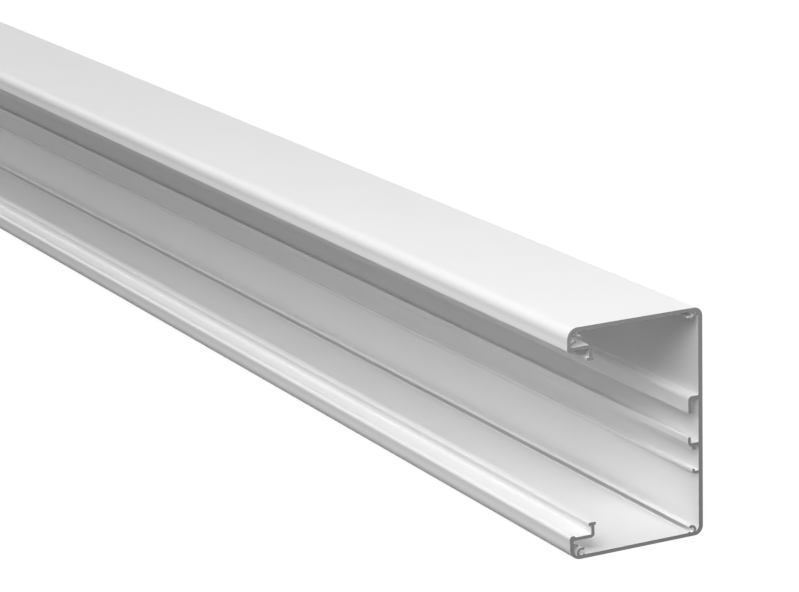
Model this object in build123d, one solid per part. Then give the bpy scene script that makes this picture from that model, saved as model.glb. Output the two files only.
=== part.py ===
"""Wall trunking base: an extruded aluminium channel with an open front for a clip-in cover.

The section is drawn as seen from the near end, with Y running from the open front (-Y) to the
back wall (+Y) and Z up from the bottom flange, and it is extruded along X.
"""
import math
import os

from build123d import *

# Overall size of one stock length
LENGTH = 2000.0
DEPTH = 65.0
HEIGHT = 100.0

# Walls of the channel
BACK_WALL = 1.9
FLANGE_WALL = 1.6
FRONT_WALL = 1.5
CORNER_RADIUS = 4.0

# Front lips: a ledge turned in behind the front wall, and a leg whose head holds the cover.
# The wall flares out to a round nose, which stands proud of the wall and of the ledge.
LIP_HEIGHT = 9.8
LIP_WALL = 1.4
LIP_BEND_RADIUS = 0.9
LEDGE_REACH = 11.8
LEG_HEIGHT = 5.2
HEAD_THICKNESS = 1.3
HEAD_FRONT_STEP = 1.2
HEAD_BACK_STEP = 0.7
NOSE_RADIUS = 1.4
NOSE_PROUD = 0.5
NOSE_RISE = 0.5
FLARE_HEIGHT = 3.5

# Slanted rib on the inside of each front wall, between the ledge and the flange
SLANT_RIB_DROP = 1.0
SLANT_RIB_REACH = 2.6
SLANT_RIB_WALL = 0.8
SLANT_RIB_ANGLE = 27.0

# Pin channels beside the four corners, each with its slit towards the middle of the trunking
PIN_RADIUS = 1.2
PIN_WALL = 0.85
PIN_INSET = 5.5
PIN_TIP_ANGLE = 45.0
PIN_JAW_ANGLE = 30.0

# Hooked ribs on the back wall, each at the height of its arm's middle line
TOP_HOOK_HEIGHT = 61.0
TOP_HOOK_DEPTH = 5.0
TOP_HOOK_DROP = 6.7
TOP_HOOK_WALL = 1.5
MIDDLE_HOOK_HEIGHT = 40.5
MIDDLE_HOOK_DEPTH = 5.2
MIDDLE_HOOK_RISE = 3.4
MIDDLE_HOOK_WALL = 1.25
SNAP_RIB_SETBACK = 1.6
SNAP_RIB_DROP = 2.4
SNAP_RIB_WALL = 1.7
LOW_HOOK_HEIGHT = 28.1
LOW_HOOK_DEPTH = 3.1
LOW_HOOK_RISE = 1.6
LOW_HOOK_WALL = 1.0
BEND_RADIUS = 0.9

# Small rounds that the extrusion die leaves on free tips and at the roots of the ribs
TIP_ROUND = 0.3
ROOT_ROUND = 0.4

# Faces and lines of the channel, worked out from the sizes above
FRONT = -DEPTH / 2
BACK = DEPTH / 2
FRONT_FACE = FRONT + NOSE_PROUD
FRONT_INSIDE = FRONT_FACE + FRONT_WALL
BACK_INSIDE = BACK - BACK_WALL
UNDER_LEDGE = LIP_HEIGHT - LIP_WALL
LEG_BACK = FRONT + LEDGE_REACH
PIN_DEPTH = DEPTH / 2 - PIN_INSET
PIN_HEIGHT = FLANGE_WALL + PIN_RADIUS


def block(y_low, y_high, z_low, z_high):
    """A rectangle between two depths and two heights."""
    centre = Pos((y_low + y_high) / 2, (z_low + z_high) / 2)
    return centre * Rectangle(y_high - y_low, z_high - z_low)


def rounded(shape, radius, *corners):
    """The shape with the vertices nearest to the given corners rounded."""
    nearest = [min(shape.vertices(), key=lambda v: math.dist((v.X, v.Y), c)) for c in corners]
    return fillet(nearest, radius)


def mirrored(shape):
    """The shape together with its mirror image about the middle of the height."""
    middle = Plane.XZ.offset(-HEIGHT / 2)
    return shape + mirror(shape, about=middle)


def channel():
    """The outer wall, with the front cut away between the two lips."""
    outside = RectangleRounded(BACK - FRONT_FACE, HEIGHT, CORNER_RADIUS)
    inside = RectangleRounded(
        BACK_INSIDE - FRONT_INSIDE,
        HEIGHT - 2 * FLANGE_WALL,
        CORNER_RADIUS - FLANGE_WALL,
    )
    outside = Pos((FRONT_FACE + BACK) / 2, HEIGHT / 2) * outside
    inside = Pos((FRONT_INSIDE + BACK_INSIDE) / 2, HEIGHT / 2) * inside
    mouth = block(FRONT - FRONT_WALL, FRONT_INSIDE, LIP_HEIGHT, HEIGHT - LIP_HEIGHT)
    return outside - inside - mouth


def flared_nose():
    """The slope on the outside of the front wall and the round nose that it leads to."""
    nose_line = LIP_HEIGHT + NOSE_RISE - NOSE_RADIUS
    wall_line = FRONT_FACE + FRONT_WALL / 2
    foot = nose_line - FLARE_HEIGHT
    flare = Polygon(
        (FRONT, nose_line),
        (FRONT_FACE, foot),
        (wall_line, foot),
        (wall_line, nose_line),
        align=None,
    )
    nose = Pos(FRONT + NOSE_RADIUS, nose_line) * Circle(NOSE_RADIUS)
    crown = nose & block(FRONT, FRONT + 2 * NOSE_RADIUS, nose_line, LIP_HEIGHT + NOSE_RISE)
    return flare + crown


def cover_lip():
    """Ledge, leg and head of the bottom lip, with the nose along its outer edge."""
    ledge_line = LIP_HEIGHT - LIP_WALL / 2
    leg_line = LEG_BACK - LIP_WALL / 2
    tip = LIP_HEIGHT + LEG_HEIGHT
    path = FilletPolyline(
        (FRONT_FACE + FRONT_WALL / 2, ledge_line),
        (leg_line, ledge_line),
        (leg_line, tip - HEAD_THICKNESS / 2),
        radius=LIP_BEND_RADIUS,
    )
    head_front = LEG_BACK - LIP_WALL - HEAD_FRONT_STEP
    head_back = LEG_BACK + HEAD_BACK_STEP
    head = block(head_front, head_back, tip - HEAD_THICKNESS, tip)
    head = rounded(
        head,
        TIP_ROUND,
        (head_front, tip),
        (head_front, tip - HEAD_THICKNESS),
        (head_back, tip),
        (head_back, tip - HEAD_THICKNESS),
    )
    return trace(path, LIP_WALL) + head + flared_nose()


def slant_rib():
    """The short rib that slopes down and inwards from the inside of the front wall."""
    root = FRONT_FACE + FRONT_WALL / 2
    reach = SLANT_RIB_REACH + FRONT_WALL / 2
    rib = block(0, reach, -SLANT_RIB_WALL / 2, SLANT_RIB_WALL / 2)
    rib = rounded(rib, TIP_ROUND, (reach, -SLANT_RIB_WALL / 2), (reach, SLANT_RIB_WALL / 2))
    return Pos(root, UNDER_LEDGE - SLANT_RIB_DROP) * Rot(0, 0, -SLANT_RIB_ANGLE) * rib


def pin_channel(side):
    """A slit tube on the bottom flange, by the front (side -1) or the back (side +1)."""
    outer = PIN_RADIUS + PIN_WALL
    reach = 2 * outer
    tip = math.radians(PIN_TIP_ANGLE)
    jaw = math.radians(PIN_JAW_ANGLE)
    slit = Polygon(
        (0, 0),
        (-side * reach * math.cos(tip), reach * math.sin(tip)),
        (-side * reach * math.cos(jaw), -reach * math.sin(jaw)),
        align=None,
    )
    place = Pos(side * PIN_DEPTH, PIN_HEIGHT)
    return place * (Circle(outer) - Circle(PIN_RADIUS) - slit)


def hook(height, depth, rise, wall, bend):
    """A bent rib: an arm from the back wall and a leg at its end that rises, or hangs where rise is negative."""
    leg_line = BACK_INSIDE - depth + wall / 2
    tip = height + rise
    path = FilletPolyline((BACK, height), (leg_line, height), (leg_line, tip), radius=bend)
    strip = trace(path, wall)
    return rounded(strip, TIP_ROUND, (leg_line - wall / 2, tip), (leg_line + wall / 2, tip))


def snap_rib():
    """The short rib that hangs under the arm of the middle hook."""
    back = BACK_INSIDE - SNAP_RIB_SETBACK
    tip = MIDDLE_HOOK_HEIGHT - SNAP_RIB_DROP
    rib = block(back - SNAP_RIB_WALL, back, tip, MIDDLE_HOOK_HEIGHT)
    return rounded(rib, TIP_ROUND, (back - SNAP_RIB_WALL, tip), (back, tip))


def back_ribs():
    """The three hooks and the snap rib along the inside of the back wall."""
    top = hook(TOP_HOOK_HEIGHT, TOP_HOOK_DEPTH, -TOP_HOOK_DROP, TOP_HOOK_WALL, BEND_RADIUS)
    middle = hook(MIDDLE_HOOK_HEIGHT, MIDDLE_HOOK_DEPTH, MIDDLE_HOOK_RISE, MIDDLE_HOOK_WALL, BEND_RADIUS)
    low = hook(LOW_HOOK_HEIGHT, LOW_HOOK_DEPTH, LOW_HOOK_RISE, LOW_HOOK_WALL, BEND_RADIUS)
    return top + middle + snap_rib() + low


def root_corners():
    """Inner corners where the ledges and the hooks' arms grow out of the walls."""
    corners = [(FRONT_INSIDE, UNDER_LEDGE), (FRONT_INSIDE, HEIGHT - UNDER_LEDGE)]
    arms = [
        (TOP_HOOK_HEIGHT, TOP_HOOK_WALL),
        (MIDDLE_HOOK_HEIGHT, MIDDLE_HOOK_WALL),
        (LOW_HOOK_HEIGHT, LOW_HOOK_WALL),
    ]
    for height, wall in arms:
        corners += [(BACK_INSIDE, height - wall / 2), (BACK_INSIDE, height + wall / 2)]
    return corners


def section():
    """The whole cross-section as one face."""
    pins = pin_channel(-1) + pin_channel(1)
    profile = channel() + mirrored(cover_lip() + slant_rib() + pins) + back_ribs()
    return rounded(profile, ROOT_ROUND, *root_corners()).face()


def trunking_base():
    """One stock length of the section, centred along X and standing on its bottom flange."""
    return extrude(Plane.YZ * section(), LENGTH / 2, both=True)


os.makedirs("parts", exist_ok=True)
export_step(trunking_base(), "parts/trunking_base.step")
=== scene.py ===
"""Builds the look of a wall trunking base: an extruded, powder coated channel with sawn ends."""
import math

import bpy
from bpy.props import FloatProperty, FloatVectorProperty, IntProperty, PointerProperty
from mathutils import Matrix, Vector


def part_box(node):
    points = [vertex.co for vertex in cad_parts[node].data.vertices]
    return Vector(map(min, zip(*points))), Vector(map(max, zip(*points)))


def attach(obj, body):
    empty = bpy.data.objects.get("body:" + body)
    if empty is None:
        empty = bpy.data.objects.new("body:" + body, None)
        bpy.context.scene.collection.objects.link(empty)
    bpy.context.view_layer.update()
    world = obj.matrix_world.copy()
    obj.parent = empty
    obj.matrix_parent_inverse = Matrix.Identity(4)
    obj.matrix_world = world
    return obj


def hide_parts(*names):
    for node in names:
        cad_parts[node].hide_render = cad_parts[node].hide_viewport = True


bl_info = {
    "name": "Wall Trunking Base",
    "version": (1, 0, 0),
    "blender": (4, 5, 0),
    "location": "View3D > Sidebar > Trunking",
    "description": "Draws the section of a wall trunking base and extrudes it, coated, with sawn ends",
    "category": "Add Mesh",
}

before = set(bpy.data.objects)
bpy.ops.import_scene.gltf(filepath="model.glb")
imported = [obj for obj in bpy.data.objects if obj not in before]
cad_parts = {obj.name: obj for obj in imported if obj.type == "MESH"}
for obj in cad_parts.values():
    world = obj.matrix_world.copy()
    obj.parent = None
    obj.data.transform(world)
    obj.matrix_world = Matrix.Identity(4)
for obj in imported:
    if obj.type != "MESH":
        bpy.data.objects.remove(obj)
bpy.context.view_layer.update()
LOW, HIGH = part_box("trunking_base")

# How finely the outline's arcs are divided, how close a flat side's support points are to its ends,
# and the shortest side that gets them
ARC_STEP = math.radians(9)
SUPPORT = 0.00006
SUPPORTED_SIDE = 6 * SUPPORT

# Edges sharper than this stay crisp, and faces whose normal lies along the length by more than this
# share are the sawn ends
SHARP_ANGLE = math.radians(32)
END_FACING = 0.5

# Round on the free ends of a pin channel's wall, as a share of the wall
PIN_END_ROUND = 0.15

# Blotches in the finish: their width in metres, and the darkest tone or the spread about the roughness
TONE_SIZE = 0.03
DARKEST_TONE = 0.985
GLOSS_SIZE = 0.008
GLOSS_SPREAD = 0.04
METAL_GLOSS_SIZE = 0.002
METAL_GLOSS_SPREAD = 0.08

# How little the die's lines change along the length, and how many ragged bits a chipped metre has
DIE_LINE_STRETCH = 0.004
CHIP_GRAIN = 2200.0

# Deep in a pin channel, painted shade as dark metal fades into the coat between these shares of its wall
BORE_SHADE_START = 0.1
BORE_SHADE_END = 0.4

# The blade's middle in front of and over the section's middle, in blade radii, and its marks' shade
BLADE_FRONT = 0.8
BLADE_OVER = 0.6
SAW_MARK_SHADE = 0.8

# Half the floor's width, how white its glow is by the trunking, dimmed there as painted shade, and how far
# off it is fully white
FLOOR_HALF = 40.0
SHADED_LEAST_WHITE = 0.93
WHITE_REACH = 0.4


def length_property(name, millimetres, description):
    """A length of the section, given here in millimetres and kept in metres."""
    return FloatProperty(
        name=name,
        description=description,
        default=millimetres / 1000,
        min=-0.1,
        precision=5,
        unit="LENGTH",
        subtype="DISTANCE",
    )


def angle_property(name, degrees, description):
    """An angle of the section, given here in degrees."""
    return FloatProperty(name=name, description=description, default=math.radians(degrees), subtype="ANGLE")


def share_property(name, share, description):
    """A plain number from none to all."""
    return FloatProperty(name=name, description=description, default=share, min=0, max=1, subtype="FACTOR")


def colour_property(name, value, description):
    """A colour that a user can pick."""
    return FloatVectorProperty(
        name=name, description=description, default=value, size=3, min=0, max=1, subtype="COLOR"
    )


class ChannelSizes(bpy.types.PropertyGroup):
    """Overall size and walls of the channel."""

    length: length_property("Length", (HIGH[0] - LOW[0]) * 1000, "One stock length")
    depth: length_property("Depth", 65.0, "From the lips' noses to the back")
    height: length_property("Height", 100.0, "Over both flanges")
    back_wall: length_property("Back Wall", 1.9, "Thickness of the wall that is screwed to the building")
    flange_wall: length_property("Flange Wall", 1.6, "Thickness of the top and bottom flange")
    front_wall: length_property("Front Wall", 1.55, "Thickness of the front behind each lip")
    corner_radius: length_property("Corner Radius", 4.0, "Outer radius of the long corners at the back")
    front_radius: length_property("Front Radius", 4.8, "Outer radius of the long corners at the front")
    segments: IntProperty(name="Segments", description="Parts of the length in the mesh", default=20, min=1)


class LipSizes(bpy.types.PropertyGroup):
    """The two front lips that hold the cover."""

    height: length_property("Height", 9.8, "From the flange's outside to the ledge's outside")
    wall: length_property("Wall", 1.4, "Thickness of the ledge and the leg")
    bend_radius: length_property("Bend Radius", 0.9, "Bend between ledge and leg, on the middle line")
    reach: length_property("Ledge Reach", 11.8, "From the front to the back of the leg")
    leg_height: length_property("Leg Height", 5.2, "From the ledge to the head's end")
    head_thickness: length_property("Head Thickness", 1.3, "Thickness of the head on the leg")
    head_front_step: length_property("Head Front Step", 1.2, "How far the head stands in front of the leg")
    head_back_step: length_property("Head Back Step", 0.7, "How far the head stands behind the leg")
    nose_radius: length_property("Nose Radius", 1.5, "Round nose along the lip's outer edge")
    nose_proud: length_property("Nose Proud", 0.15, "How far the nose stands in front of the wall")
    nose_rise: length_property("Nose Rise", 0.8, "How far the nose stands over the ledge")
    flare_foot: length_property("Flare Foot", 6.8, "Height at which the wall starts to slope out to the nose")
    rib_drop: length_property("Rib Drop", 1.0, "From the ledge to the slanted rib's root")
    rib_reach: length_property("Rib Reach", 2.6, "Length of the slanted rib")
    rib_wall: length_property("Rib Wall", 0.8, "Thickness of the slanted rib")
    rib_angle: angle_property("Rib Angle", 27.0, "Slope of the slanted rib")


class PinChannelSizes(bpy.types.PropertyGroup):
    """The four slit tubes that take pins or end screws."""

    radius: length_property("Radius", 1.2, "Inner radius")
    wall: length_property("Wall", 0.85, "Thickness of the tube")
    inset: length_property("Inset", 5.5, "From the outside of the front or back to the axis")
    tip_angle: angle_property("Tip Angle", 45.0, "Where the tube's free end stops above the axis")
    jaw_angle: angle_property("Jaw Angle", 30.0, "Where the flange's jaw stops below the axis")


class HookSizes(bpy.types.PropertyGroup):
    """The hooked ribs along the inside of the back wall."""

    top_height: length_property("Top Height", 61.0, "Middle of the top hook's arm")
    top_depth: length_property("Top Depth", 5.0, "Reach of the top hook")
    top_rise: length_property("Top Rise", -6.7, "Height of its leg, which hangs")
    top_wall: length_property("Top Wall", 1.5, "Thickness of the top hook")
    middle_height: length_property("Middle Height", 40.5, "Middle of the middle hook's arm")
    middle_depth: length_property("Middle Depth", 5.2, "Reach of the middle hook")
    middle_rise: length_property("Middle Rise", 3.4, "Height of its leg")
    middle_wall: length_property("Middle Wall", 1.25, "Thickness of the middle hook")
    low_height: length_property("Low Height", 28.1, "Middle of the low hook's arm")
    low_depth: length_property("Low Depth", 3.1, "Reach of the low hook")
    low_rise: length_property("Low Rise", 1.6, "Height of its leg")
    low_wall: length_property("Low Wall", 1.0, "Thickness of the low hook")
    snap_setback: length_property("Snap Rib Setback", 1.6, "From the back wall to the snap rib")
    snap_drop: length_property("Snap Rib Drop", 2.4, "From the arm's middle to the snap rib's end")
    snap_wall: length_property("Snap Rib Wall", 1.7, "Thickness of the snap rib")
    bend_radius: length_property("Bend Radius", 0.9, "Bend of each hook, on the middle line")
    tip_round: length_property("Tip Round", 0.3, "Round on the free tips")
    root_round: length_property("Root Round", 0.4, "Round where arms and ledges grow out of a wall")


class Finish(bpy.types.PropertyGroup):
    """Powder coat and sawn metal."""

    coat_colour: colour_property("Coat Colour", (0.87, 0.87, 0.87), "Colour of the powder coat")
    coat_roughness: share_property("Coat Roughness", 0.55, "How matt the powder coat is")
    coat_specular: share_property("Coat Specular", 0.2, "How strongly the powder coat mirrors")
    peel_size: length_property("Peel Size", 1.6, "Width of the waves in the coat's orange peel")
    peel_depth: length_property("Peel Depth", 0.006, "Depth of the orange peel")
    die_line_spacing: length_property("Die Line Spacing", 0.8, "Distance of the lines left by the die")
    die_line_depth: length_property("Die Line Depth", 0.003, "Depth of those lines under the coat")
    # The metal colour is far darker than fresh aluminium: painted shade on the sawn ends and chips, over the
    # metal's own grey
    metal_and_shade_colour: colour_property("Metal And Shade Colour", (0.125, 0.125, 0.127), "Colour of the sawn aluminium, darkened by painted shade")
    metal_roughness: share_property("Metal Roughness", 0.5, "How dull the sawn metal is")
    saw_line_spacing: length_property("Saw Line Spacing", 0.25, "Distance of the saw's marks")
    saw_line_depth: length_property("Saw Line Depth", 0.01, "Depth of the saw's marks")
    blade_radius: length_property("Blade Radius", 150.0, "Radius of the saw blade that cut the ends")
    chip_width: length_property("Chip Width", 0.18, "How far the coat is chipped back at a sawn end")
    # Painted shade: dark metal deep in the pin channels stands in for shade, and stops short of the cut ends
    # within this reach
    unshaded_reach: length_property("Unshaded Reach", 8.0, "How far light gets into a pin channel's open end, ahead of the painted shade")
    bore_shade_share: share_property("Bore Shade Share", 0.3, "How much painted shade, as dark metal, is deep in a pin channel")


class Stage(bpy.types.PropertyGroup):
    """Floor, light and camera."""

    floor_colour: colour_property("Floor Colour", (0.1, 0.1, 0.1), "What the floor gives back of the light")
    world_light: FloatProperty(name="World Light", description="Light from all round", default=0.12)
    lamp_power: FloatProperty(name="Lamp Power", description="Factor on every lamp", default=1.0)
    lens: FloatProperty(
        name="Lens", description="Focal length", default=141.55, unit="CAMERA", subtype="DISTANCE_CAMERA"
    )


class TrunkingSettings(bpy.types.PropertyGroup):
    """Everything that a user would change."""

    channel: PointerProperty(type=ChannelSizes)
    lips: PointerProperty(type=LipSizes)
    pins: PointerProperty(type=PinChannelSizes)
    hooks: PointerProperty(type=HookSizes)
    finish: PointerProperty(type=Finish)
    stage: PointerProperty(type=Stage)


# The section is a list of corners (depth, height, radius). It is followed from the bottom lip's nose
# through the inside to the top lip's nose, and back round the outside.


def arc_points(centre, radius, start, end):
    """Corners with no radius along an arc, from one angle to another."""
    steps = max(2, math.ceil(abs(end - start) / ARC_STEP))
    angles = [start + (end - start) * i / steps for i in range(steps + 1)]
    return [(centre[0] + radius * math.cos(a), centre[1] + radius * math.sin(a), 0.0) for a in angles]


def meeting_point(centre_a, radius_a, centre_b, radius_b):
    """Where two circles meet, on the right hand of the line from the first centre to the second."""
    line = Vector(centre_b) - Vector(centre_a)
    along = (line.length**2 + radius_a**2 - radius_b**2) / (2 * line.length)
    across = math.sqrt(radius_a**2 - along**2)
    unit = line.normalized()
    return Vector(centre_a) + unit * along + Vector((unit.y, -unit.x)) * across


def angle_from(centre, point):
    """Angle of a point about a centre, from 0 to a full turn."""
    return math.atan2(point[1] - centre[1], point[0] - centre[0]) % math.tau


def turned_round(corners):
    """The same corners in the opposite order."""
    return list(reversed(corners))


def front_to_back(corners):
    """Corners mirrored from the front half to the back half, in the opposite order."""
    return turned_round([(-y, z, radius) for y, z, radius in corners])


def bottom_to_top(corners, height):
    """Corners mirrored about the middle of the height, in the opposite order."""
    return turned_round([(y, height - z, radius) for y, z, radius in corners])


def flared_nose(channel, lips):
    """The flare of the front wall and the round nose over it, from the flare's foot to the ledge."""
    front = -channel.depth / 2
    centre = (front + lips.nose_radius, lips.height + lips.nose_rise - lips.nose_radius)
    foot = (front + lips.nose_proud, lips.flare_foot, 0.0)
    end = math.asin((lips.height - centre[1]) / lips.nose_radius)
    return [foot, *arc_points(centre, lips.nose_radius, math.pi, end)]


def cover_lip(channel, lips, hooks):
    """Ledge, leg and head of the bottom lip, from the nose to the root of the ledge's underside."""
    leg_back = -channel.depth / 2 + lips.reach
    leg_front = leg_back - lips.wall
    head_front = leg_front - lips.head_front_step
    head_back = leg_back + lips.head_back_step
    tip = lips.height + lips.leg_height
    neck = tip - lips.head_thickness
    under_ledge = lips.height - lips.wall
    wall_inside = -channel.depth / 2 + lips.nose_proud + channel.front_wall
    return [
        (leg_front, lips.height, lips.bend_radius - lips.wall / 2),
        (leg_front, neck, 0.0),
        (head_front, neck, hooks.tip_round),
        (head_front, tip, hooks.tip_round),
        (head_back, tip, hooks.tip_round),
        (head_back, neck, hooks.tip_round),
        (leg_back, neck, 0.0),
        (leg_back, under_ledge, lips.bend_radius + lips.wall / 2),
        (wall_inside, under_ledge, hooks.root_round),
    ]


def slant_rib(channel, lips, hooks):
    """The rib that slopes down from the inside of the front wall."""
    wall_middle = -channel.depth / 2 + lips.nose_proud + channel.front_wall / 2
    root = Vector((wall_middle, lips.height - lips.wall - lips.rib_drop))
    along = Vector((math.cos(lips.rib_angle), -math.sin(lips.rib_angle)))
    across = Vector((math.sin(lips.rib_angle), math.cos(lips.rib_angle))) * (lips.rib_wall / 2)
    reach = lips.rib_reach + channel.front_wall / 2
    corners = []
    for side in (1, -1):
        to_wall = (channel.front_wall / 2 - side * across.x) / along.x
        at_wall = root + along * to_wall + side * across
        at_tip = root + along * reach + side * across
        pair = [(*at_wall, 0.0), (*at_tip, hooks.tip_round)]
        corners += pair if side == 1 else turned_round(pair)
    return corners


def pin_channel(channel, pins, wall_inside):
    """The slit tube beside a wall on the front side, from that wall's rounded corner to the flange."""
    outer = pins.radius + pins.wall
    inside_radius = channel.corner_radius - channel.flange_wall
    corner = (wall_inside + inside_radius, channel.flange_wall + inside_radius)
    axis = (pins.inset - channel.depth / 2, channel.flange_wall + pins.radius)
    meeting = meeting_point(corner, inside_radius, axis, outer)
    tip = pins.tip_angle
    jaw = math.tau - pins.jaw_angle
    tube = arc_points(axis, outer, angle_from(axis, meeting), tip)
    bore = arc_points(axis, pins.radius, tip, jaw)
    end_round = pins.wall * PIN_END_ROUND
    for arc, end in ((tube, -1), (bore, 0), (bore, -1)):
        arc[end] = (*arc[end][:2], end_round)
    jaw_foot = math.asin(pins.radius / outer)
    return [
        *arc_points(corner, inside_radius, math.pi, angle_from(corner, meeting)),
        *tube[1:],
        *bore,
        (axis[0] + outer * math.cos(jaw), axis[1] + outer * math.sin(jaw), end_round / 2),
        (axis[0] + outer * math.cos(jaw_foot), channel.flange_wall, 0.0),
    ]


def hook(wall_inside, height, depth, rise, wall, hooks, under_arm=()):
    """A bent rib on the back wall, from its arm's lower root to the upper one."""
    inner_round = max(hooks.bend_radius - wall / 2, 0.0)
    outer_round = hooks.bend_radius + wall / 2
    outer = wall_inside - depth
    inner = outer + wall
    hangs = rise < 0
    bends = [
        (outer, height - math.copysign(wall / 2, rise), outer_round),
        (outer, height + rise, hooks.tip_round),
        (inner, height + rise, hooks.tip_round),
        (inner, height + math.copysign(wall / 2, rise), inner_round),
    ]
    return [
        (wall_inside, height - wall / 2, hooks.root_round),
        *under_arm,
        *(turned_round(bends) if hangs else bends),
        (wall_inside, height + wall / 2, hooks.root_round),
    ]


def back_wall_ribs(channel, hooks):
    """Corners of the back wall's inside, from the low hook up to the top one."""
    inside = channel.depth / 2 - channel.back_wall
    snap_back = inside - hooks.snap_setback
    snap_front = snap_back - hooks.snap_wall
    snap_end = hooks.middle_height - hooks.snap_drop
    under_middle = hooks.middle_height - hooks.middle_wall / 2
    snap_rib = [
        (snap_back, under_middle, 0.0),
        (snap_back, snap_end, hooks.tip_round),
        (snap_front, snap_end, hooks.tip_round),
        (snap_front, under_middle, 0.0),
    ]
    low = (hooks.low_height, hooks.low_depth, hooks.low_rise, hooks.low_wall)
    middle = (hooks.middle_height, hooks.middle_depth, hooks.middle_rise, hooks.middle_wall)
    top = (hooks.top_height, hooks.top_depth, hooks.top_rise, hooks.top_wall)
    return [
        *hook(inside, *low, hooks),
        *hook(inside, *middle, hooks, snap_rib),
        *hook(inside, *top, hooks),
    ]


def section_corners(settings):
    """All corners of the section's outline."""
    channel, lips, pins, hooks = settings.channel, settings.lips, settings.pins, settings.hooks
    front = -channel.depth / 2 + lips.nose_proud
    back = channel.depth / 2
    bottom = [
        *flared_nose(channel, lips),
        *cover_lip(channel, lips, hooks),
        *slant_rib(channel, lips, hooks),
        *pin_channel(channel, pins, front + channel.front_wall),
        *front_to_back(pin_channel(channel, pins, channel.back_wall - back)),
    ]
    outside = [
        (front, channel.height, channel.front_radius),
        (back, channel.height, channel.corner_radius),
        (back, 0.0, channel.corner_radius),
        (front, 0.0, channel.front_radius),
    ]
    return [
        *bottom,
        *back_wall_ribs(channel, hooks),
        *bottom_to_top(bottom, channel.height),
        *outside,
    ]


def rounded_corner(before, corner, after, radius):
    """The points of the arc that rounds a corner."""
    to_before = (before - corner).normalized()
    to_after = (after - corner).normalized()
    half = to_before.angle(to_after) / 2
    turn = math.pi - 2 * half
    centre = corner + (to_before + to_after).normalized() * (radius / math.sin(half))
    spoke = corner + to_before * (radius / math.tan(half)) - centre
    sense = -1 if to_before.cross(to_after) > 0 else 1
    steps = max(2, math.ceil(turn / ARC_STEP))
    return [centre + Matrix.Rotation(sense * turn * i / steps, 2) @ spoke for i in range(steps + 1)]


def section_outline(corners):
    """The outline's points, anticlockwise as seen from the near end, with supports on its flat sides."""
    places = [Vector(corner[:2]) for corner in corners]
    rounded = []
    for i, (*_, radius) in enumerate(corners):
        before, here, after = places[i - 1], places[i], places[(i + 1) % len(places)]
        rounded += rounded_corner(before, here, after, radius) if radius > 0 else [here]
    points = []
    for here, after in zip(rounded, rounded[1:] + rounded[:1]):
        points.append(here)
        side = after - here
        if side.length > SUPPORTED_SIDE:
            step = side.normalized() * SUPPORT
            points += [here + step, after - step]
    return turned_round(points)


def new_socket(tree, name, kind, to="INPUT", default=None):
    """A named socket of a node tree."""
    socket = tree.interface.new_socket(name, in_out=to, socket_type="NodeSocket" + kind)
    if default is not None:
        socket.default_value = default


def set_inputs(tree, node, inputs):
    """Each named input of a node set to a value, or linked to a socket."""
    for name, value in inputs.items():
        if isinstance(value, bpy.types.NodeSocket):
            tree.links.new(value, node.inputs[name])
        else:
            node.inputs[name].default_value = value


def new_node(tree, kind, inputs=None, **settings):
    """A node with its settings and its inputs."""
    node = tree.nodes.new(kind)
    for name, value in settings.items():
        setattr(node, name, value)
    set_inputs(tree, node, inputs or {})
    return node


def maths(tree, operation, *values):
    """The result of one step of arithmetic on sockets or numbers."""
    return new_node(tree, "ShaderNodeMath", dict(enumerate(values)), operation=operation).outputs[0]


def vector_maths(tree, operation, *values):
    """The vector and the value that one step of arithmetic on vectors gives."""
    return new_node(tree, "ShaderNodeVectorMath", dict(enumerate(values)), operation=operation).outputs


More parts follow.
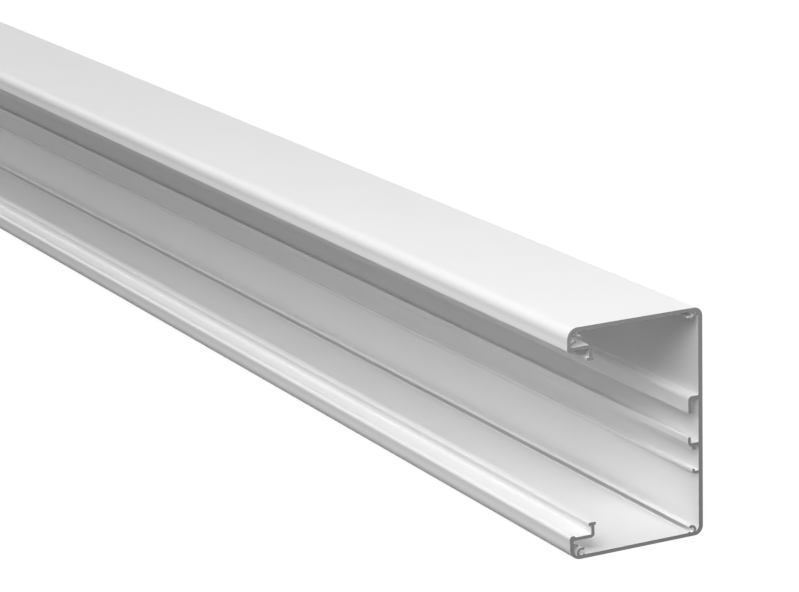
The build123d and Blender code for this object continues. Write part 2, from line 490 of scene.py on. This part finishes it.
def extrusion_tree():
    """Geometry nodes that sweep a closed outline along X and give the sides and the ends their finish."""
    tree = bpy.data.node_groups.new("Trunking Extrusion", "GeometryNodeTree")
    new_socket(tree, "Outline", "Geometry")
    new_socket(tree, "Length", "Float", default=2.0)
    new_socket(tree, "Segments", "Int", default=20)
    new_socket(tree, "Sharp Angle", "Float", default=SHARP_ANGLE)
    new_socket(tree, "Coat", "Material")
    new_socket(tree, "Cut Metal", "Material")
    new_socket(tree, "Trunking", "Geometry", to="OUTPUT")
    given = tree.nodes.new("NodeGroupInput").outputs

    outline = new_node(tree, "GeometryNodeMeshToCurve", {"Mesh": given["Outline"]})
    half = maths(tree, "MULTIPLY", given["Length"], 0.5)
    start = new_node(tree, "ShaderNodeCombineXYZ", {"X": maths(tree, "MULTIPLY", half, -1.0)}).outputs[0]
    end = new_node(tree, "ShaderNodeCombineXYZ", {"X": half}).outputs[0]
    line = new_node(tree, "GeometryNodeCurvePrimitiveLine", {"Start": start, "End": end})
    stops = maths(tree, "ADD", given["Segments"], 1.0)
    divided = new_node(tree, "GeometryNodeResampleCurve", {"Curve": line.outputs[0], "Count": stops})
    upright = new_node(tree, "GeometryNodeSetCurveTilt", {"Curve": divided.outputs[0], "Tilt": math.pi})
    swept = new_node(
        tree,
        "GeometryNodeCurveToMesh",
        {"Curve": upright.outputs[0], "Profile Curve": outline.outputs[0], "Fill Caps": True},
    )

    normal = new_node(tree, "GeometryNodeInputNormal")
    facing = new_node(tree, "ShaderNodeSeparateXYZ", {"Vector": normal.outputs[0]})
    along = maths(tree, "ABSOLUTE", facing.outputs["X"])
    is_end = new_node(tree, "FunctionNodeCompare", {0: along, 1: END_FACING}, operation="GREATER_THAN")
    is_side = new_node(tree, "FunctionNodeBooleanMath", {0: is_end.outputs[0]}, operation="NOT")
    bend = new_node(tree, "GeometryNodeInputMeshEdgeAngle")
    is_soft = new_node(
        tree,
        "FunctionNodeCompare",
        {0: bend.outputs["Unsigned Angle"], 1: given["Sharp Angle"]},
        operation="LESS_THAN",
    )
    smooth = new_node(
        tree,
        "GeometryNodeSetShadeSmooth",
        {"Geometry": swept.outputs[0], "Shade Smooth": is_side.outputs[0]},
        domain="FACE",
    )
    crisp = new_node(
        tree,
        "GeometryNodeSetShadeSmooth",
        {"Geometry": smooth.outputs[0], "Shade Smooth": is_soft.outputs[0]},
        domain="EDGE",
    )

    real = new_node(tree, "GeometryNodeRealizeInstances", {"Geometry": crisp.outputs[0]})
    coated = new_node(
        tree, "GeometryNodeSetMaterial", {"Geometry": real.outputs[0], "Material": given["Coat"]}
    )
    sawn = new_node(
        tree,
        "GeometryNodeSetMaterial",
        {"Geometry": coated.outputs[0], "Selection": is_end.outputs[0], "Material": given["Cut Metal"]},
    )
    new_node(tree, "NodeGroupOutput", {"Trunking": sawn.outputs[0]})
    return tree


def run_geometry_nodes(source, tree, values, name):
    """A plain mesh object made by a geometry node tree from a source object, which is removed."""
    modifier = source.modifiers.new(tree.name, "NODES")
    modifier.node_group = tree
    sockets = {item.name: item for item in tree.interface.items_tree if item.in_out == "INPUT"}
    for socket_name, value in values.items():
        modifier[sockets[socket_name].identifier] = value
    bpy.context.view_layer.update()
    graph = bpy.context.evaluated_depsgraph_get()
    mesh = bpy.data.meshes.new_from_object(source.evaluated_get(graph), depsgraph=graph)
    mesh.name = name
    source.modifiers.remove(modifier)
    bpy.data.objects.remove(source)
    piece = bpy.data.objects.new(name, mesh)
    bpy.context.scene.collection.objects.link(piece)
    return piece


def mottle_group():
    """Soft blotches of a given size between two values, for colour and gloss."""
    tree = bpy.data.node_groups.new("Surface Mottle", "ShaderNodeTree")
    new_socket(tree, "Size", "Float", default=0.01)
    new_socket(tree, "Low", "Float", default=0.0)
    new_socket(tree, "High", "Float", default=1.0)
    new_socket(tree, "Value", "Float", to="OUTPUT")
    given = tree.nodes.new("NodeGroupInput").outputs
    place = new_node(tree, "ShaderNodeTexCoord")
    scale = maths(tree, "DIVIDE", 1.0, given["Size"])
    noise = new_node(
        tree,
        "ShaderNodeTexNoise",
        {"Vector": place.outputs["Object"], "Scale": scale, "Detail": 3.0, "Roughness": 0.55},
    )
    value = new_node(
        tree,
        "ShaderNodeMapRange",
        {
            "Value": noise.outputs["Fac"],
            "From Min": 0.3,
            "From Max": 0.7,
            "To Min": given["Low"],
            "To Max": given["High"],
        },
    )
    new_node(tree, "NodeGroupOutput", {"Value": value.outputs["Result"]})
    return tree


def fine_line_group():
    """Uneven fine lines at a given spacing, from a place that changes only across them."""
    tree = bpy.data.node_groups.new("Fine Lines", "ShaderNodeTree")
    new_socket(tree, "Across", "Vector")
    new_socket(tree, "Spacing", "Float", default=0.001)
    new_socket(tree, "Height", "Float", to="OUTPUT")
    new_socket(tree, "Line", "Float", to="OUTPUT")
    given = tree.nodes.new("NodeGroupInput").outputs
    scale = maths(tree, "DIVIDE", 1.0, given["Spacing"])
    noise = new_node(
        tree,
        "ShaderNodeTexNoise",
        {"Vector": given["Across"], "Scale": scale, "Detail": 4.0, "Roughness": 0.6},
    )
    line = new_node(
        tree, "ShaderNodeMapRange", {"Value": noise.outputs["Fac"], "From Min": 0.56, "From Max": 0.7}
    )
    new_node(tree, "NodeGroupOutput", {"Height": noise.outputs["Fac"], "Line": line.outputs["Result"]})
    return tree


def blotches(tree, mottle, size, low, high):
    """A value that changes softly over the surface, between two others."""
    inputs = {"Size": size, "Low": low, "High": high}
    return new_node(tree, "ShaderNodeGroup", inputs, node_tree=mottle).outputs["Value"]


def fading(tree, value, start, end):
    """One up to the first value, falling to nought at the second."""
    inputs = {"Value": value, "From Min": start, "From Max": end, "To Min": 1.0, "To Max": 0.0}
    return new_node(tree, "ShaderNodeMapRange", inputs).outputs["Result"]


def empty_tree(owner):
    """The node tree of a new material or world, without the nodes that it comes with."""
    owner.use_nodes = True
    owner.node_tree.nodes.clear()
    return owner.node_tree


def new_material(name):
    """An empty material with a Principled shader, and its tree, shader and object coordinates."""
    material = bpy.data.materials.new(name)
    tree = empty_tree(material)
    shader = new_node(tree, "ShaderNodeBsdfPrincipled")
    new_node(tree, "ShaderNodeOutputMaterial", {"Surface": shader.outputs[0]})
    place = new_node(tree, "ShaderNodeTexCoord").outputs["Object"]
    return material, tree, shader, place


def grey_multiple(tree, colour, value):
    """A colour darkened by a value that changes over the surface."""
    inputs = {0: 1.0, 6: (*colour, 1.0), 7: value}
    return new_node(tree, "ShaderNodeMix", inputs, data_type="RGBA", blend_type="MULTIPLY").outputs[2]


def chipped_edge(tree, place, half_length, width):
    """One where the coat has chipped off along a sawn end, in a ragged line."""
    along = new_node(tree, "ShaderNodeSeparateXYZ", {"Vector": place}).outputs["X"]
    from_middle = maths(tree, "ABSOLUTE", along)
    ragged = new_node(tree, "ShaderNodeTexNoise", {"Vector": place, "Scale": CHIP_GRAIN, "Detail": 2.0})
    start = maths(tree, "MULTIPLY_ADD", ragged.outputs["Fac"], -2 * width, half_length)
    return maths(tree, "GREATER_THAN", from_middle, start)


def painted_bore_shade(tree, place, channel, pins, reach):
    """Painted shade: one deep inside the four pin channels, nought elsewhere, fading out towards the cut ends
    where light gets in.
    """
    middle = (0.0, 0.0, channel.height / 2)
    folded = vector_maths(tree, "ABSOLUTE", vector_maths(tree, "SUBTRACT", place, middle)[0])[0]
    axis = (0.0, channel.depth / 2 - pins.inset, channel.height / 2 - channel.flange_wall - pins.radius)
    across = vector_maths(tree, "MULTIPLY", folded, (0.0, 1.0, 1.0))[0]
    from_axis = vector_maths(tree, "DISTANCE", across, axis)["Value"]
    inside = fading(tree, from_axis, pins.radius + pins.wall * BORE_SHADE_START, pins.radius + pins.wall * BORE_SHADE_END)
    along = new_node(tree, "ShaderNodeSeparateXYZ", {"Vector": folded}).outputs["X"]
    deep = fading(tree, along, channel.length / 2 - reach, channel.length / 2 - reach / 4)
    return maths(tree, "MULTIPLY", inside, deep)


def powder_coat(settings, mottle, lines):
    """White powder coat: orange peel over the die's lines, chipped to metal at the saw cut, and dark metal
    painted deep in the pin channels as shade.
    """
    finish, channel = settings.finish, settings.channel
    material, tree, shader, place = new_material("white powder coat")
    even = finish.coat_roughness
    tone = blotches(tree, mottle, TONE_SIZE, DARKEST_TONE, 1.0)
    gloss = blotches(tree, mottle, GLOSS_SIZE, even - GLOSS_SPREAD, even + GLOSS_SPREAD)

    across = vector_maths(tree, "MULTIPLY", place, (DIE_LINE_STRETCH, 1.0, 1.0))[0]
    spaced = {"Across": across, "Spacing": finish.die_line_spacing}
    die = new_node(tree, "ShaderNodeGroup", spaced, node_tree=lines)
    peel = new_node(
        tree,
        "ShaderNodeTexNoise",
        {"Vector": place, "Scale": 1 / finish.peel_size, "Detail": 1.0, "Roughness": 0.4},
    )
    die_bump = new_node(
        tree, "ShaderNodeBump", {"Height": die.outputs["Height"], "Distance": finish.die_line_depth}
    )
    coat_bump = new_node(
        tree,
        "ShaderNodeBump",
        {"Height": peel.outputs["Fac"], "Distance": finish.peel_depth, "Normal": die_bump.outputs[0]},
    )

    chip = chipped_edge(tree, place, channel.length / 2, finish.chip_width)
    # Painted shade deep inside the pin channels
    bore = painted_bore_shade(tree, place, channel, settings.pins, finish.unshaded_reach)
    # Metal shows at the chipped cut, which is wear, and deep in the pin channels, which is painted shade
    chips_and_bore_shade = maths(tree, "MAXIMUM", chip, maths(tree, "MULTIPLY", bore, finish.bore_shade_share))
    coat = grey_multiple(tree, finish.coat_colour, tone)
    colour = new_node(
        tree, "ShaderNodeMix", {0: chips_and_bore_shade, 6: coat, 7: (*finish.metal_and_shade_colour, 1.0)}, data_type="RGBA"
    )
    roughness = new_node(tree, "ShaderNodeMix", {0: chips_and_bore_shade, 2: gloss, 3: finish.metal_roughness})
    surface = {
        "Base Color": colour.outputs[2],
        "Metallic": chips_and_bore_shade,
        "Roughness": roughness.outputs[0],
        "Specular IOR Level": finish.coat_specular,
        "Normal": coat_bump.outputs[0],
    }
    set_inputs(tree, shader, surface)
    return material


def sawn_metal(finish, height, mottle, lines):
    """Bare aluminium with the arcs that a saw blade leaves across the cut, in a colour darkened by painted
    shade.
    """
    material, tree, shader, place = new_material("sawn aluminium")
    even, blade = finish.metal_roughness, finish.blade_radius
    blade_middle = (0.0, -blade * BLADE_FRONT, height / 2 + blade * BLADE_OVER)
    flat = vector_maths(tree, "MULTIPLY", place, (0.0, 1.0, 1.0))[0]
    reach = vector_maths(tree, "DISTANCE", flat, blade_middle)["Value"]
    across = new_node(tree, "ShaderNodeCombineXYZ", {"X": reach}).outputs[0]
    spaced = {"Across": across, "Spacing": finish.saw_line_spacing}
    marks = new_node(tree, "ShaderNodeGroup", spaced, node_tree=lines)
    shade = new_node(
        tree, "ShaderNodeMapRange", {"Value": marks.outputs["Line"], "To Min": 1.0, "To Max": SAW_MARK_SHADE}
    )
    bump = new_node(
        tree, "ShaderNodeBump", {"Height": marks.outputs["Height"], "Distance": finish.saw_line_depth}
    )
    surface = {
        "Base Color": grey_multiple(tree, finish.metal_and_shade_colour, shade.outputs["Result"]),
        "Metallic": 1.0,
        "Roughness": blotches(
            tree, mottle, METAL_GLOSS_SIZE, even - METAL_GLOSS_SPREAD, even + METAL_GLOSS_SPREAD
        ),
        "Normal": bump.outputs[0],
    }
    set_inputs(tree, shader, surface)
    return material


class TRUNKING_OT_base(bpy.types.Operator):
    """Draw the section, sweep it along the stock length and put it in place of the plain solid"""

    bl_idname = "trunking.base"
    bl_label = "Trunking Base"

    def execute(self, context):
        settings = context.scene.trunking
        points = section_outline(section_corners(settings))
        mesh = bpy.data.meshes.new("section outline")
        edges = [(i, (i + 1) % len(points)) for i in range(len(points))]
        mesh.from_pydata([(y, z, 0.0) for y, z in points], edges, [])
        outline = bpy.data.objects.new("section outline", mesh)
        context.scene.collection.objects.link(outline)

        mottle, lines = mottle_group(), fine_line_group()
        values = {
            "Length": settings.channel.length,
            "Segments": settings.channel.segments,
            "Sharp Angle": SHARP_ANGLE,
            "Coat": powder_coat(settings, mottle, lines),
            "Cut Metal": sawn_metal(settings.finish, settings.channel.height, mottle, lines),
        }
        piece = run_geometry_nodes(outline, extrusion_tree(), values, "trunking_profile")
        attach(piece, "root")
        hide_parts("trunking_base")
        return {"FINISHED"}


def look_from(location, target):
    """Rotation of a lamp at a place that points it at a target."""
    return (Vector(target) - Vector(location)).to_track_quat("-Z", "Y")


def softbox(name, location, target, size, power):
    """A large soft lamp that doesn't show in the picture."""
    data = bpy.data.lights.new(name, "AREA")
    data.shape = "RECTANGLE"
    data.size, data.size_y = size
    data.energy = power
    lamp = bpy.data.objects.new(name, data)
    lamp.location = location
    lamp.rotation_mode = "QUATERNION"
    lamp.rotation_quaternion = look_from(location, target)
    lamp.visible_camera = False
    bpy.context.scene.collection.objects.link(lamp)


def direct_view(tree):
    """One where the camera or a mirror image sees the surface, and nought where light only bounces off it."""
    path = new_node(tree, "ShaderNodeLightPath").outputs
    mirrored = maths(tree, "MAXIMUM", path["Is Glossy Ray"], path["Is Transmission Ray"])
    return maths(tree, "MAXIMUM", path["Is Camera Ray"], mirrored)


def white_floor(colour):
    """A floor that shows as white, with painted shade where its glow is a little dimmer by the trunking, and
    keeps the shadow on it.
    """
    material = bpy.data.materials.new("floor")
    tree = empty_tree(material)
    matt = new_node(tree, "ShaderNodeBsdfDiffuse", {"Color": (*colour, 1.0)})
    place = new_node(tree, "ShaderNodeTexCoord").outputs["Object"]
    folded = vector_maths(tree, "ABSOLUTE", place)[0]
    beyond = vector_maths(tree, "SUBTRACT", folded, (HIGH[0], HIGH[1], 0.0))[0]
    away = vector_maths(tree, "LENGTH", vector_maths(tree, "MAXIMUM", beyond, (0.0, 0.0, 0.0))[0])["Value"]
    # Painted shade: the glow is dimmer close to the trunking
    glow_with_painted_shade = new_node(
        tree,
        "ShaderNodeMapRange",
        {"Value": away, "From Min": 0.0, "From Max": WHITE_REACH, "To Min": SHADED_LEAST_WHITE, "To Max": 1.0},
    )
    level = maths(tree, "MULTIPLY", glow_with_painted_shade.outputs["Result"], direct_view(tree))
    glow = new_node(tree, "ShaderNodeEmission", {"Strength": level})
    both = new_node(tree, "ShaderNodeAddShader", {0: matt.outputs[0], 1: glow.outputs[0]})
    clear = new_node(tree, "ShaderNodeBsdfTransparent")
    below = new_node(tree, "ShaderNodeNewGeometry").outputs["Backfacing"]
    one_sided = new_node(tree, "ShaderNodeMixShader", {0: below, 1: both.outputs[0], 2: clear.outputs[0]})
    new_node(tree, "ShaderNodeOutputMaterial", {"Surface": one_sided.outputs[0]})
    return material


def white_world(strength):
    """Even light from all round, which shows as white."""
    world = bpy.data.worlds.new("studio")
    tree = empty_tree(world)
    level = new_node(
        tree,
        "ShaderNodeMapRange",
        {"Value": direct_view(tree), "To Min": strength, "To Max": 1.0},
    )
    light = new_node(
        tree, "ShaderNodeBackground", {"Color": (1.0, 1.0, 1.0, 1.0), "Strength": level.outputs["Result"]}
    )
    new_node(tree, "ShaderNodeOutputWorld", {"Surface": light.outputs[0]})
    return world


# The softboxes: name, place, target, width and height, and power in watts. The photo is brightest at
# the near end, where six of them point.
NEAR = (0.95, 0.0, 0.05)
SOFTBOXES = [
    ("key softbox", (1.87, -0.77, 1.25), NEAR, (0.9, 0.9), 13.8),
    ("high softbox", (0.49, -0.55, 1.59), NEAR, (0.9, 0.9), 3.95),
    ("front softbox", (0.95, -0.655, 0.51), NEAR, (0.45, 0.45), 1.95),
    ("low front softbox", (1.0, -1.1, 0.25), NEAR, (0.6, 0.4), 0.4),
    ("end softbox", (2.3, 0.05, 0.68), NEAR, (0.8, 0.8), 5.3),
    ("low end softbox", (1.9, 0.15, 0.18), NEAR, (0.3, 0.3), 5.2),
    ("far front fill", (-0.4, -0.6, 0.3), (-0.4, 0.0, 0.05), (1.2, 0.25), 1.0),
    ("far top fill", (-0.6, -0.2, 1.1), (-0.6, 0.0, 0.05), (0.9, 0.5), 2.8),
    ("far end fill", (-1.9, -0.3, 0.6), (-1.0, 0.0, 0.05), (0.6, 0.6), 10.2),
    ("back fill", (0.0, 1.5, 0.45), (0.0, 0.0, 0.05), (2.4, 0.6), 13.0),
]

# The photo's camera: its place, its turn from looking along +Y, how far it looks down and its lean
CAMERA_PLACE = (2.068704, -0.646919, 0.445263)
CAMERA_YAW = math.radians(63.253)
CAMERA_PITCH = math.radians(14.977)
CAMERA_ROLL = math.radians(1.645)
CAMERA_SENSOR = 36.0
CAMERA_CLIP = (0.05, 100.0)


class TRUNKING_OT_stage(bpy.types.Operator):
    """Set the floor, the lamps, the world and the camera"""

    bl_idname = "trunking.stage"
    bl_label = "Stage"

    def execute(self, context):
        stage = context.scene.trunking.stage
        mesh = bpy.data.meshes.new("floor")
        corners = [(x * FLOOR_HALF, y * FLOOR_HALF, 0) for x, y in ((-1, -1), (1, -1), (1, 1), (-1, 1))]
        mesh.from_pydata(corners, [], [(0, 1, 2, 3)])
        floor = bpy.data.objects.new("floor", mesh)
        mesh.materials.append(white_floor(stage.floor_colour))
        context.scene.collection.objects.link(floor)

        context.scene.world = white_world(stage.world_light)
        for name, place, target, size, power in SOFTBOXES:
            softbox(name, place, target, size, power * stage.lamp_power)

        data = bpy.data.cameras.new("camera")
        data.lens = stage.lens
        data.sensor_width = CAMERA_SENSOR
        data.clip_start, data.clip_end = CAMERA_CLIP
        camera = bpy.data.objects.new("camera", data)
        turn = (
            Matrix.Rotation(CAMERA_YAW, 4, "Z")
            @ Matrix.Rotation(math.pi / 2 - CAMERA_PITCH, 4, "X")
            @ Matrix.Rotation(-CAMERA_ROLL, 4, "Z")
        )
        camera.matrix_world = Matrix.Translation(CAMERA_PLACE) @ turn
        context.scene.collection.objects.link(camera)
        context.scene.camera = camera
        context.scene.view_settings.view_transform = "Standard"
        return {"FINISHED"}


class TRUNKING_PT_panel(bpy.types.Panel):
    """Buttons and sizes in the 3D view's sidebar"""

    bl_idname = "TRUNKING_PT_panel"
    bl_label = "Wall Trunking Base"
    bl_space_type = "VIEW_3D"
    bl_region_type = "UI"
    bl_category = "Trunking"

    def draw(self, context):
        layout = self.layout
        settings = context.scene.trunking
        for operator in (TRUNKING_OT_base, TRUNKING_OT_stage):
            layout.operator(operator.bl_idname)
        for group in settings.__annotations__:
            box = layout.box()
            box.label(text=group.capitalize())
            values = getattr(settings, group)
            for name in values.__annotations__:
                box.prop(values, name)


CLASSES = (
    ChannelSizes,
    LipSizes,
    PinChannelSizes,
    HookSizes,
    Finish,
    Stage,
    TrunkingSettings,
    TRUNKING_OT_base,
    TRUNKING_OT_stage,
    TRUNKING_PT_panel,
)


def register():
    """Add the classes and the settings."""
    for cls in CLASSES:
        bpy.utils.register_class(cls)
    bpy.types.Scene.trunking = PointerProperty(type=TrunkingSettings)


def unregister():
    """Take them away again."""
    del bpy.types.Scene.trunking
    for cls in reversed(CLASSES):
        bpy.utils.unregister_class(cls)


def main():
    """Build the part and its stage."""
    register()
    bpy.ops.trunking.stage()
    bpy.ops.trunking.base()


if __name__ == "__main__":
    main()
